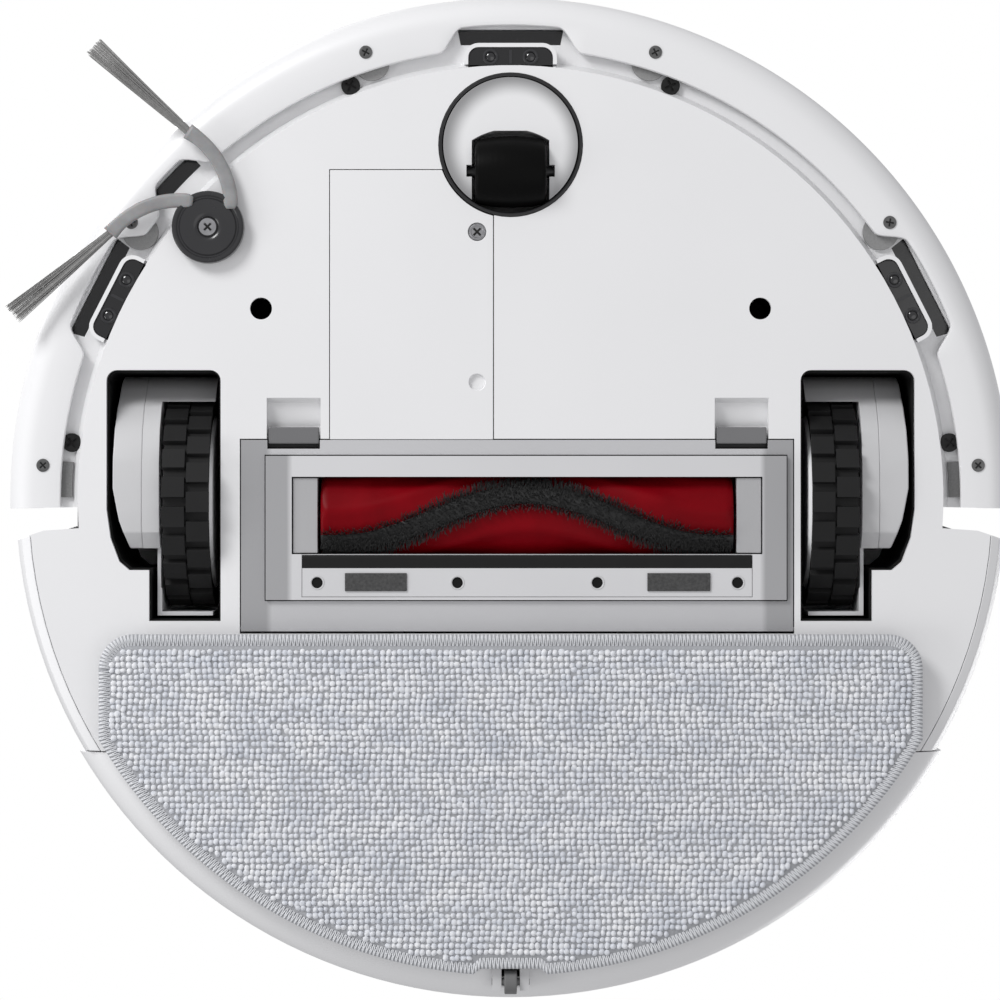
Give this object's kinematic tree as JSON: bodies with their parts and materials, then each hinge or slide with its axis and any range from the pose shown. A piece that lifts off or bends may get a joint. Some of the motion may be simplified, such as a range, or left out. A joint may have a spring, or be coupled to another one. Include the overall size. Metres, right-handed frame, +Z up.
{
  "type": "robot vacuum",
  "caption": "Round robot vacuum and mop with sprung drive wheels, swivel caster, bristled main brush, side brush, laser turret and a rear tank with a mop pad.",
  "frame": {"origin": "on the floor, under the middle of the round body", "axes": "+Z up; -Y is the front, where the bumper is; the side brush is on the -X side"},
  "size_m": [0.3516, 0.3522, 0.0965],
  "materials": {
    "white_shell": "satin moulded ABS",
    "white_gloss": "glossy",
    "black_plastic": "semi-gloss",
    "inner_plastic": "matt",
    "battery_wrap": "shrink wrap",
    "circuit_board": "solder mask",
    "grey_cover": "fine texture",
    "pale_grey": "satin",
    "smoked_window": "infrared window",
    "foam": "soft foam",
    "steel": "zinc plated",
    "black_screw": "black oxide",
    "tyre_rubber": "moulded lugs",
    "caster_tread": "smooth",
    "grey_rubber": "translucent",
    "grey_bristle": "nylon bristle",
    "scraper_rubber": "smooth",
    "felt": "pressed felt",
    "red_rubber": "moulded",
    "black_bristle": "nylon bristle",
    "mop_cloth": "knitted microfibre",
    "dark_grey_plastic": "matt"
  },
  "bodies": {
    "chassis": {"base_plate": "white_shell", "wheel_wells": "black_plastic", "bumper_channel": "white_shell", "side_shell": "white_shell", "top_shell": "white_shell", "deck_panel": "white_gloss", "battery_cover": "white_shell", "battery_cover_screw": "steel", "battery_pack": "battery_wrap", "main_board": "circuit_board", "suction_fan": "inner_plastic", "brush_motor": "inner_plastic", "side_brush_motor": "inner_plastic", "brush_tunnel": "inner_plastic", "brush_bearings": "pale_grey", "caster_bezel": "black_plastic", "cliff_sensors": "smoked_window", "foam_pads": "foam", "corner_pads": "foam", "channel_screws": "black_screw", "lidar_base": "black_plastic", "lidar_cap": "white_shell"},
    "lidar_head": {"lidar_rotor": "black_plastic"},
    "power_key": {"power_button": "white_gloss"},
    "home_key": {"home_button": "white_gloss"},
    "bumper": {"bumper_shell": "white_shell", "bumper_side_panels": "white_shell", "bumper_screws": "steel", "sensor_window": "smoked_window"},
    "left_arm": {"left_gearbox": "pale_grey", "left_gearbox_lid": "pale_grey"},
    "left_wheel": {"left_hub": "pale_grey", "left_tyre": "tyre_rubber"},
    "right_arm": {"right_gearbox": "pale_grey", "right_gearbox_lid": "pale_grey"},
    "right_wheel": {"right_hub": "pale_grey", "right_tyre": "tyre_rubber"},
    "caster": {"caster_fork": "white_shell"},
    "caster_wheel": {"caster_roller": "caster_tread", "caster_axle": "steel"},
    "side_brush": {"side_brush_hub": "black_plastic", "side_brush_arms": "grey_rubber", "side_brush_bristles": "grey_bristle", "side_brush_screw": "steel"},
    "cover": {"brush_cover": "grey_cover"},
    "latch_l": {"left_latch": "grey_cover"},
    "latch_r": {"right_latch": "grey_cover"},
    "guard": {"guard_frame": "grey_cover", "guard_bar": "grey_cover", "scraper_strip": "scraper_rubber", "guard_screws": "black_screw", "felt_pads": "felt"},
    "main_brush": {"roller_core": "red_rubber", "roller_bristles": "black_bristle"},
    "tank": {"tank_shell": "white_shell", "dust_bin": "pale_grey"},
    "tank_catch": {"tank_latch": "grey_cover"},
    "mop": {"mop_bracket": "pale_grey", "mop_pad": "mop_cloth"},
    "rear_wheel": {"rear_roller": "dark_grey_plastic"}
  },
  "joints": [
    {"name": "bumper_press", "type": "slide", "parent": "chassis", "child": "bumper", "axis": [0, 1, 0], "range_m": [0, 0.003], "stiffness_N_per_m": 900, "springref_m": -0.001},
    {"name": "left_suspension", "type": "hinge", "parent": "chassis", "child": "left_arm", "pos_m": [-0.113, -0.02, 0.04], "axis": [-1, 0, 0], "range_deg": [0, 25]},
    {"name": "left_wheel_spin", "type": "hinge", "parent": "left_arm", "child": "left_wheel", "pos_m": [-0.113, 0.0014, 0.037], "axis": [1, 0, 0], "continuous": true},
    {"name": "right_suspension", "type": "hinge", "parent": "chassis", "child": "right_arm", "pos_m": [0.113, -0.02, 0.04], "axis": [-1, 0, 0], "range_deg": [0, 25]},
    {"name": "right_wheel_spin", "type": "hinge", "parent": "right_arm", "child": "right_wheel", "pos_m": [0.113, 0.0014, 0.037], "axis": [1, 0, 0], "continuous": true},
    {"name": "caster_swivel", "type": "hinge", "parent": "chassis", "child": "caster", "pos_m": [0, -0.1234, 0.02], "axis": [0, 0, 1], "continuous": true},
    {"name": "caster_roll", "type": "hinge", "parent": "caster", "child": "caster_wheel", "pos_m": [0, -0.1142, 0.0125], "axis": [1, 0, 0], "continuous": true},
    {"name": "side_brush_spin", "type": "hinge", "parent": "chassis", "child": "side_brush", "pos_m": [-0.1055, -0.0944, 0.008], "axis": [0, 0, 1], "continuous": true},
    {"name": "main_brush_spin", "type": "hinge", "parent": "chassis", "child": "main_brush", "pos_m": [0.00575, 0.0061, 0.023], "axis": [1, 0, 0], "continuous": true},
    {"name": "brush_cover_hinge", "type": "hinge", "parent": "chassis", "child": "cover", "pos_m": [0.00225, 0.0456, 0.0102], "axis": [1, 0, 0], "range_deg": [0, 60]},
    {"name": "guard_float", "type": "slide", "parent": "cover", "child": "guard", "axis": [0, 0, -1], "range_m": [0, 0.003]},
    {"name": "left_latch_slide", "type": "slide", "parent": "cover", "child": "latch_l", "axis": [0, 1, 0], "range_m": [0, 0.0015], "stiffness_N_per_m": 600, "springref_m": -0.001},
    {"name": "right_latch_slide", "type": "slide", "parent": "cover", "child": "latch_r", "axis": [0, 1, 0], "range_m": [0, 0.0015], "stiffness_N_per_m": 600, "springref_m": -0.001},
    {"name": "lidar_spin", "type": "hinge", "parent": "chassis", "child": "lidar_head", "pos_m": [0, 0.032, 0.08], "axis": [0, 0, 1], "continuous": true},
    {"name": "power_button_press", "type": "slide", "parent": "chassis", "child": "power_key", "axis": [0, 0, -1], "range_m": [0, 0.0008], "stiffness_N_per_m": 800, "springref_m": -0.0005},
    {"name": "home_button_press", "type": "slide", "parent": "chassis", "child": "home_key", "axis": [0, 0, -1], "range_m": [0, 0.0008], "stiffness_N_per_m": 800, "springref_m": -0.0005},
    {"name": "tank_slide", "type": "slide", "parent": "chassis", "child": "tank", "axis": [0, 1, 0], "range_m": [0, 0.13]},
    {"name": "tank_latch_press", "type": "slide", "parent": "tank", "child": "tank_catch", "axis": [0, -1, 0], "range_m": [0, 0.0012], "stiffness_N_per_m": 800, "springref_m": -0.001},
    {"name": "mop_slide", "type": "slide", "parent": "tank", "child": "mop", "axis": [0, 1, 0], "range_m": [0, 0.12]},
    {"name": "rear_roller_spin", "type": "hinge", "parent": "mop", "child": "rear_wheel", "pos_m": [0, 0.1685, 0.0056], "axis": [1, 0, 0], "continuous": true}
  ]
}
